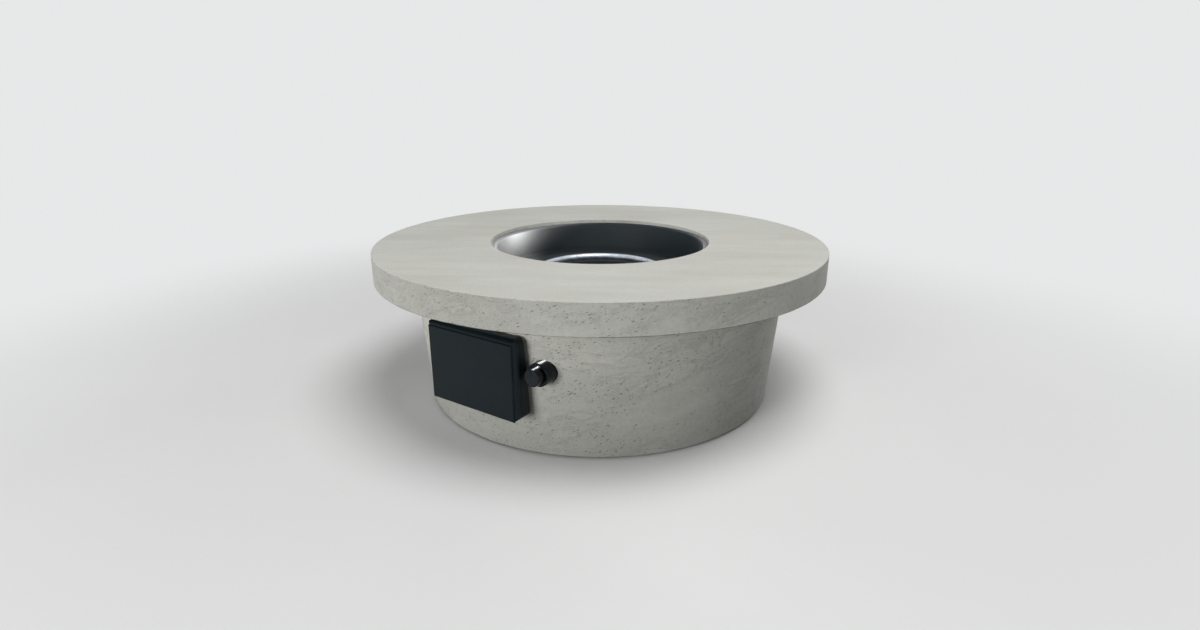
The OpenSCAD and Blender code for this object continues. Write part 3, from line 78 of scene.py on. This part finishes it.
def spread(tree, value, out_low, out_high):
    """The middle part of a noise mapped evenly to out_low..out_high."""
    return ramp(tree, value, 0.3, 0.7, out_low, out_high, smooth=False)


def axis_part(tree, vector, axis):
    return add(tree, "ShaderNodeSeparateXYZ", {0: vector}).outputs[axis]


def mix_color(tree, factor, a, b, blend="MIX"):
    node = add(tree, "ShaderNodeMix", {0: factor, 6: a, 7: b}, data_type="RGBA", blend_type=blend)
    return node.outputs[2]


def shaded(tree, color, shade):
    """The colour times a grey shade."""
    grey = add(tree, "ShaderNodeCombineColor", {0: shade, 1: shade, 2: shade}).outputs[0]
    return mix_color(tree, 1.0, color, grey, "MULTIPLY")


def noise(tree, vector, scale, detail=2.0, rough=0.5, distortion=0.0):
    node = add(
        tree, "ShaderNodeTexNoise",
        {"Vector": vector, "Scale": scale, "Detail": detail, "Roughness": rough, "Distortion": distortion},
    )
    return node.outputs["Fac"]


def scaled(tree, vector, factors, shift):
    return add(
        tree, "ShaderNodeMapping", {"Vector": vector, "Scale": factors, "Location": shift}
    ).outputs["Vector"]


def turned_about_z(tree, vector, angle):
    return add(
        tree, "ShaderNodeVectorRotate", {"Vector": vector, "Angle": angle}, rotation_type="Z_AXIS"
    ).outputs[0]


def bump(tree, height, distance, strength=1.0):
    inputs = {"Height": height, "Distance": distance, "Strength": strength}
    return add(tree, "ShaderNodeBump", inputs).outputs["Normal"]


def material(name):
    """A new material: (material, tree, principled shader, object coordinates)."""
    mat = bpy.data.materials.new(name)
    mat.use_nodes = True
    tree = mat.node_tree
    tree.nodes.clear()
    shader = add(tree, "ShaderNodeBsdfPrincipled")
    out = add(tree, "ShaderNodeOutputMaterial")
    tree.links.new(shader.outputs[0], out.inputs["Surface"])
    coords = add(tree, "ShaderNodeTexCoord").outputs["Object"]
    return mat, tree, shader, coords


def feed(tree, shader, **inputs):
    """Sets or links the shader's inputs, by short names."""
    names = {
        "color": "Base Color", "rough": "Roughness", "metal": "Metallic", "normal": "Normal",
        "specular": "Specular IOR Level",
    }
    for key, value in inputs.items():
        socket = shader.inputs[names[key]]
        if isinstance(value, bpy.types.NodeSocket):
            tree.links.new(value, socket)
        elif key == "color":
            socket.default_value = (*value, 1.0)
        else:
            socket.default_value = value


# Concrete

def pore_layer(tree, coords, per_metre, radius, keep, cluster, shift):
    """Small round holes scattered in patches, radius metres at most: 1 inside a hole, 0 outside."""
    widest = radius * per_metre
    spot = add(
        tree, "ShaderNodeTexVoronoi",
        {"Vector": scaled(tree, coords, (1, 1, 1.35), shift), "Scale": per_metre, "Randomness": 1.0},
        feature="F1", distance="EUCLIDEAN",
    )
    parts = add(tree, "ShaderNodeSeparateColor", {0: spot.outputs["Color"]})
    reach = ramp(tree, parts.outputs[0], 0.0, 1.0, 0.45 * widest, widest, smooth=False)
    uneven = math_node(tree, "SUBTRACT", cluster, times(tree, parts.outputs[1], 0.14))
    allowed = ramp(tree, uneven, keep - 0.08, keep - 0.06)
    edge = math_node(tree, "SUBTRACT", times(tree, reach, allowed), spot.outputs["Distance"])
    return ramp(tree, edge, 0.0, 0.4 * widest)


def top_face_shade(tree, coords, shift, grain, speck):
    """The long soft marks of the slab's flat top, which run across it at one angle."""
    run = turned_about_z(tree, coords, math.radians(-31))
    streak = noise(tree, scaled(tree, run, (1, 5.5, 1), shift), 2.6, 5.0, 0.6, 0.35)
    wash = noise(tree, scaled(tree, run, (1, 3.0, 1), (1.3, 0.4, 0.0)), 1.5, 2.0, 0.5)
    shade = ramp(tree, streak, 0.28, 0.72, 0.925, 1.06, smooth=False)
    shade = times(tree, shade, spread(tree, wash, 0.97, 1.03))
    shade = times(tree, shade, spread(tree, grain, 0.95, 1.05))
    return times(tree, shade, spread(tree, speck, 0.985, 1.015))


def painted_seam_shadow(tree, coords, height):
    """A broken painted shadow line where the slab's side meets the joint under it."""
    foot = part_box("table_top")[0][2]
    dashes = ramp(tree, noise(tree, coords, 16.0, 3.0, 0.7), 0.42, 0.56, 0.25, 1.0)
    return times(tree, ramp(tree, height, foot + 1.2 * MM, foot + 2.2 * MM, 0.75, 0.0), dashes)


def concrete(name, shift, flat_top):
    """Cast concrete: clouds, slanting veins, grain, specks and pits, with smooth streaks on a flat top."""
    cool, warm = (0.560, 0.558, 0.510), (0.590, 0.590, 0.548)
    pit_color = (0.160, 0.156, 0.138)
    slant = -2.6
    pit_radius, fine_pit_radius = 2.7 * MM, 1.6 * MM
    second_shift = (shift[1], shift[2], shift[0])
    third_shift = (shift[2], shift[0], shift[1])

    mat, tree, shader, coords = material(name)
    height = axis_part(tree, coords, "Z")
    turned = turned_about_z(tree, coords, times(tree, height, slant))
    side = scaled(tree, turned, (1, 1, 2.6), shift)
    placed = scaled(tree, coords, (1, 1, 1), shift)
    clouds = noise(tree, placed, 3.4, 3.0, 0.55)
    marks = noise(tree, side, 9.0, 5.0, 0.62, 0.9)
    veins = math_node(tree, "ABSOLUTE", math_node(tree, "SUBTRACT", marks, 0.53))
    veins = ramp(tree, veins, 0.0, 0.06, 1.0, 0.0)
    patch = noise(tree, side, 4.2, 2.0, 0.5)
    veins = times(tree, veins, ramp(tree, patch, 0.40, 0.58))
    grain = noise(tree, placed, 330.0, 2.0, 0.6)
    speck = noise(tree, placed, 95.0, 3.0, 0.65)
    cluster = noise(tree, scaled(tree, turned, (1, 1, 2.4), second_shift), 7.5, 3.0, 0.6, 0.4)
    pits = pore_layer(tree, turned, 100.0, pit_radius, 0.47, cluster, shift)
    fine_pits = pore_layer(tree, coords, 160.0, fine_pit_radius, 0.44, cluster, third_shift)
    holes = math_node(tree, "MAXIMUM", pits, times(tree, fine_pits, 0.7))

    shade = ramp(tree, clouds, 0.28, 0.74, 0.94, 1.05, smooth=False)
    shade = times(tree, shade, ramp(tree, marks, 0.3, 0.72, 0.95, 1.04, smooth=False))
    shade = times(tree, shade, spread(tree, cluster, 1.03, 0.95))
    shade = times(tree, shade, spread(tree, speck, 0.945, 1.055))
    shade = times(tree, shade, spread(tree, grain, 0.94, 1.06))
    shade = times(tree, shade, ramp(tree, veins, 0.0, 1.0, 1.025, 0.89, smooth=False))

    if flat_top:
        facing_up = axis_part(tree, add(tree, "ShaderNodeTexCoord").outputs["Normal"], "Z")
        is_top = ramp(tree, facing_up, 0.6, 0.95)
        top_part = times(tree, top_face_shade(tree, coords, shift, grain, speck), is_top)
        # painted shade: the slab's side is painted 0.915 as bright as its top
        side_with_painted_shade = times(tree, shade, ramp(tree, is_top, 0.0, 1.0, 0.915, 0.0, smooth=False))
        shade = plus(tree, top_part, side_with_painted_shade)
        # painted shadow: the slab's lowest 2 mm is darkened in a broken line above the joint
        seam_shadow = painted_seam_shadow(tree, coords, height)
        shade = times(tree, shade, math_node(tree, "SUBTRACT", 1.0, seam_shadow))
        holes = times(tree, holes, ramp(tree, is_top, 0.0, 1.0, 1.0, 0.12, smooth=False))

    color = shaded(tree, mix_color(tree, ramp(tree, clouds, 0.3, 0.7), cool, warm), shade)
    # painted shade: a base without a flat top is painted darker towards the floor, from 0.76 of its colour
    # at the floor to 1.13 at 0.30 m up
    if not flat_top:
        color = shaded(tree, color, ramp(tree, height, 0.0, 0.30, 0.76, 1.13, smooth=False))
    color = mix_color(tree, times(tree, holes, 0.72), color, pit_color)
    relief = times(tree, holes, -1.0)
    for layer, strength in ((marks, 0.30), (speck, 0.10), (grain, 0.045)):
        relief = plus(tree, relief, times(tree, layer, strength))
    feed(
        tree, shader, color=color, rough=spread(tree, speck, 0.74, 0.86), specular=0.22,
        normal=bump(tree, relief, 1.3 * MM, strength=0.8),
    )
    return mat


# Coated, bare and moulded materials

def coated(name, color, rough, specular=0.5, peel=0.02, fleck=0.04, patches=0.08):
    """Paint or enamel: fine orange peel, slight patches in gloss, and faint dust."""
    mat, tree, shader, coords = material(name)
    patch = noise(tree, coords, 22.0, 3.0, 0.6)
    fine = noise(tree, coords, 900.0, 2.0, 0.5)
    dust = noise(tree, coords, 260.0, 4.0, 0.7)
    lighter = tuple(c * (1 + 2 * patches) for c in color)
    darker = tuple(c * (1 - patches) for c in color)
    tint = mix_color(tree, ramp(tree, patch, 0.32, 0.68), darker, lighter)
    tint = mix_color(tree, times(tree, ramp(tree, dust, 0.66, 0.78), fleck), tint, (0.30, 0.29, 0.27))
    clean_rough = spread(tree, patch, rough * (1 - patches), rough * (1 + patches))
    dust_rough = times(tree, ramp(tree, dust, 0.5, 0.75), 0.6 * patches)
    rough_out = math_node(tree, "ADD", clean_rough, dust_rough, clamp=True)
    feed(tree, shader, color=tint, rough=rough_out, specular=specular, normal=bump(tree, fine, peel * MM))
    return mat


def duller_ends(mat, node, rim, floor):
    """A rougher finish in the top rim metres of a node and in the lowest floor metres."""
    tree = mat.node_tree
    shader = next(n for n in tree.nodes if n.type == "BSDF_PRINCIPLED")
    plain_rough = shader.inputs["Roughness"].links[0].from_socket
    height = axis_part(tree, add(tree, "ShaderNodeTexCoord").outputs["Object"], "Z")
    low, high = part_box(node)[0][2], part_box(node)[1][2]
    top = ramp(tree, height, high - rim, high - 0.5 * rim, 0.0, 0.9)
    foot = ramp(tree, height, low + 0.5 * floor, low + floor, 0.75, 0.0)
    worn = math_node(tree, "MAXIMUM", top, foot)
    feed(tree, shader, rough=math_node(tree, "MAXIMUM", plain_rough, worn))


def bare_metal(name, color, rough, scratch=0.03, stain=None, stain_amount=0.0):
    """Bare or plated metal: fine scratches, gloss patches and faint stains."""
    mat, tree, shader, coords = material(name)
    brushed = noise(tree, coords, 1400.0, 3.0, 0.6)
    patch = noise(tree, coords, 34.0, 3.0, 0.6)
    lighter = tuple(min(c * 1.08, 0.95) for c in color)
    darker = tuple(c * 0.84 for c in color)
    tint = mix_color(tree, ramp(tree, patch, 0.3, 0.7), darker, lighter)
    if stain:
        blotch = noise(tree, coords, 60.0, 4.0, 0.7)
        tint = mix_color(tree, times(tree, ramp(tree, blotch, 0.52, 0.72), stain_amount), tint, stain)
    patch_rough = spread(tree, patch, rough * 0.85, rough * 1.15)
    rough_out = math_node(tree, "ADD", patch_rough, spread(tree, brushed, -0.05, 0.05), clamp=True)
    feed(tree, shader, color=tint, rough=rough_out, metal=1.0, normal=bump(tree, brushed, scratch * MM))
    return mat


def moulded(name, color, rough, specular=0.5, texture=0.04, scale=700.0):
    """Moulded plastic or rubber: fine texture and slight patches."""
    mat, tree, shader, coords = material(name)
    fine = noise(tree, coords, scale, 3.0, 0.6)
    patch = noise(tree, coords, 40.0, 3.0, 0.6)
    lighter = tuple(c * 1.14 for c in color)
    darker = tuple(c * 0.88 for c in color)
    tint = mix_color(tree, ramp(tree, patch, 0.3, 0.7), darker, lighter)
    feed(tree, shader, color=tint, rough=spread(tree, patch, rough * 0.92, rough * 1.08),
         specular=specular, normal=bump(tree, fine, texture * MM))
    return mat


looks = {
    "slab_concrete": concrete("slab_concrete", (0.31, 1.72, 0.45), True),
    "drum_concrete": concrete("drum_concrete", (2.17, 0.63, 1.91), False),
    "pan_enamel": coated("pan_enamel", (0.012, 0.018, 0.021), 0.40, peel=0.008, fleck=0.0, patches=0.02),
    "satin_black": coated("satin_black", (0.0036, 0.0088, 0.0116), 0.44, specular=0.2, fleck=0.015),
    "collar_black": coated("collar_black", (0.004, 0.007, 0.009), 0.22, specular=0.2, fleck=0.01),
    "stainless": bare_metal("stainless", (0.60, 0.65, 0.71), 0.42),
    "tube_steel": bare_metal("tube_steel", (0.58, 0.60, 0.62), 0.28),
    "zinc": bare_metal("zinc", (0.52, 0.53, 0.54), 0.38, stain=(0.60, 0.55, 0.40), stain_amount=0.35),
    "spring_steel": bare_metal("spring_steel", (0.46, 0.47, 0.49), 0.26),
    "brass": bare_metal("brass", (0.74, 0.56, 0.27), 0.26, stain=(0.38, 0.24, 0.10), stain_amount=0.45),
    "bright_trim": bare_metal("bright_trim", (0.72, 0.73, 0.75), 0.12, scratch=0.01),
    "magnet": bare_metal("magnet", (0.12, 0.12, 0.13), 0.46),
    "rubber": moulded("rubber", (0.022, 0.022, 0.021), 0.72, 0.3, 0.12, 500.0),
    "black_plastic": moulded("black_plastic", (0.026, 0.027, 0.029), 0.46),
    "red_plastic": moulded("red_plastic", (0.50, 0.035, 0.020), 0.30, texture=0.01),
    "lead_sleeve": moulded("lead_sleeve", (0.30, 0.29, 0.27), 0.62, texture=0.10, scale=420.0),
    "ceramic": moulded("ceramic", (0.80, 0.78, 0.71), 0.20, texture=0.01),
    "battery_wrap": moulded("battery_wrap", (0.11, 0.12, 0.13), 0.28, texture=0.01),
}

duller_ends(looks["pan_enamel"], "burner_pan", 9 * MM, 34 * MM)

look_of = {
    "slab_concrete": ["table_top"],
    "drum_concrete": ["base_drum"],
    "pan_enamel": ["burner_pan"],
    "satin_black": ["box_cover", "box_housing", "left_vent", "right_vent"],
    "collar_black": ["valve_collar", "control_knob"],
    "stainless": ["burner_ring", "burner_crossbar", "electrode_bracket", "electrode_rod"],
    "tube_steel": ["feed_tube", "supply_line"],
    "spring_steel": ["stem_spring", "button_spring", "battery_spring", "hinge_pin"],
    "brass": ["top_inserts", "air_mixer", "orifice_elbow", "feed_nuts", "valve_body", "inlet_fitting",
              "inlet_locknut", "inlet_elbow", "supply_nuts"],
    "bright_trim": ["igniter_bezel"],
    "magnet": ["catch_magnet"],
    "rubber": ["seat_tape", "foot_pads", "lead_grommet", "box_gasket"],
    "black_plastic": ["igniter_body", "igniter_nut"],
    "red_plastic": ["igniter_button"],
    "lead_sleeve": ["ignition_lead"],
    "ceramic": ["electrode_insulator"],
    "battery_wrap": ["battery"],
}
OTHER_LOOK = "zinc"
look_by_node = {name: look for look, names in look_of.items() for name in names}
for name, obj in NODES.items():
    obj.data.materials.clear()
    obj.data.materials.append(looks[look_by_node.get(name, OTHER_LOOK)])


# Stage, lights and camera

def background_ray(tree):
    """1 for a ray that shows the background: from the camera, off gloss, or through glass."""
    path = add(tree, "ShaderNodeLightPath")
    seen = math_node(tree, "MAXIMUM", path.outputs["Is Camera Ray"], path.outputs["Is Glossy Ray"])
    return math_node(tree, "MAXIMUM", seen, path.outputs["Is Transmission Ray"])


def stage_floor():
    """A pale floor that keeps the object's shadow and fades into the background."""
    floor_radius = 40.0
    fade_start, fade_end = 0.8, 2.6
    lit_paint, seen_paint = (0.16, 0.16, 0.158), (0.82, 0.82, 0.815)

    mesh = bpy.data.meshes.new("floor")
    bm = bmesh.new()
    bmesh.ops.create_circle(bm, cap_ends=True, radius=floor_radius, segments=96)
    bm.to_mesh(mesh)
    bm.free()
    obj = bpy.data.objects.new("floor", mesh)
    bpy.context.scene.collection.objects.link(obj)
    mat = bpy.data.materials.new("floor_paint")
    mat.use_nodes = True
    tree = mat.node_tree
    tree.nodes.clear()
    out = add(tree, "ShaderNodeOutputMaterial")
    coords = add(tree, "ShaderNodeTexCoord").outputs["Object"]
    seen = background_ray(tree)
    tone = ramp(tree, noise(tree, coords, 2.0, 3.0), 0.3, 0.7, 0.985, 1.0)
    paint = mix_color(tree, seen, lit_paint, seen_paint)
    diffuse = add(tree, "ShaderNodeBsdfDiffuse", {"Color": shaded(tree, paint, tone)})
    far = add(tree, "ShaderNodeEmission", {"Color": BACKGROUND, "Strength": 1.0})
    distance = add(tree, "ShaderNodeVectorMath", {0: coords}, operation="LENGTH").outputs["Value"]
    fade = times(tree, ramp(tree, distance, fade_start, fade_end), seen)
    mixed = add(tree, "ShaderNodeMixShader", {0: fade, 1: diffuse.outputs[0], 2: far.outputs[0]})
    tree.links.new(mixed.outputs[0], out.inputs["Surface"])
    mesh.materials.append(mat)


def set_world():
    """The plain background where it is seen, and a faint even light on the object."""
    world = bpy.data.worlds.new("studio")
    bpy.context.scene.world = world
    world.use_nodes = True
    tree = world.node_tree
    tree.nodes.clear()
    out = add(tree, "ShaderNodeOutputWorld")
    backdrop = add(tree, "ShaderNodeBackground", {"Color": BACKGROUND, "Strength": 1.0})
    ambient = add(tree, "ShaderNodeBackground", {"Color": (0.97, 0.985, 1.0), "Strength": 0.15})
    mixed = add(
        tree, "ShaderNodeMixShader",
        {0: background_ray(tree), 1: ambient.outputs[0], 2: backdrop.outputs[0]},
    )
    tree.links.new(mixed.outputs[0], out.inputs["Surface"])


def area_light(name, azimuth, elevation, distance, size, power, aim=(0, 0, 0.2), diffuse=True, glossy=True,
               shadow=True, only=()):
    """A round lamp at an azimuth from -Y towards +X, in degrees, for all nodes or only some."""
    data = bpy.data.lights.new(name, "AREA")
    data.shape = "DISK"
    data.size = size
    data.energy = power
    data.use_shadow = shadow
    obj = bpy.data.objects.new(name, data)
    bpy.context.scene.collection.objects.link(obj)
    a, e = math.radians(azimuth), math.radians(elevation)
    away = Vector((math.sin(a) * math.cos(e), -math.cos(a) * math.cos(e), math.sin(e)))
    spot = away * distance + Vector(aim)
    obj.location = spot
    obj.rotation_euler = (Vector(aim) - spot).to_track_quat("-Z", "Y").to_euler()
    obj.visible_camera = False
    obj.visible_diffuse = diffuse
    obj.visible_glossy = glossy
    if only:
        lit = bpy.data.collections.new(name + "_lit")
        for node in only:
            lit.objects.link(NODES[node])
        obj.light_linking.receiver_collection = lit


def set_camera():
    """The camera at the photograph's place, angle and framing."""
    data = bpy.data.cameras.new("camera")
    data.lens = CAMERA_LENS
    data.sensor_width = CAMERA_SENSOR
    camera = bpy.data.objects.new("camera", data)
    bpy.context.scene.collection.objects.link(camera)
    camera.location = CAMERA_PLACE
    camera.rotation_euler = (Vector(CAMERA_AIM) - camera.location).to_track_quat("-Z", "Y").to_euler()
    bpy.context.scene.camera = camera


stage_floor()
set_world()
area_light("front_soft", -5, 9, 4.2, 1.7, 85, glossy=False)
area_light("left_soft", -80, 9, 4.2, 1.7, 37, glossy=False)
area_light("right_soft", 85, 9, 4.2, 1.7, 16, glossy=False)
area_light("back_soft", 165, 14, 4.2, 2.2, 54, glossy=False)
area_light("top_soft", 70, 73, 3.6, 2.2, 79)
area_light("collar_gloss", -146, 27, 3.0, 0.5, 70, aim=(0.17, -0.52, 0.22), diffuse=False, shadow=False,
           only=["valve_collar", "control_knob"])
area_light("back_gloss", 148, 14, 4.0, 1.6, 1900, diffuse=False, only=["burner_pan"])
area_light("right_gloss", -138, 14, 4.0, 2.0, 330, diffuse=False, only=["burner_pan"])
set_camera()
bpy.context.scene.view_settings.view_transform = "Standard"
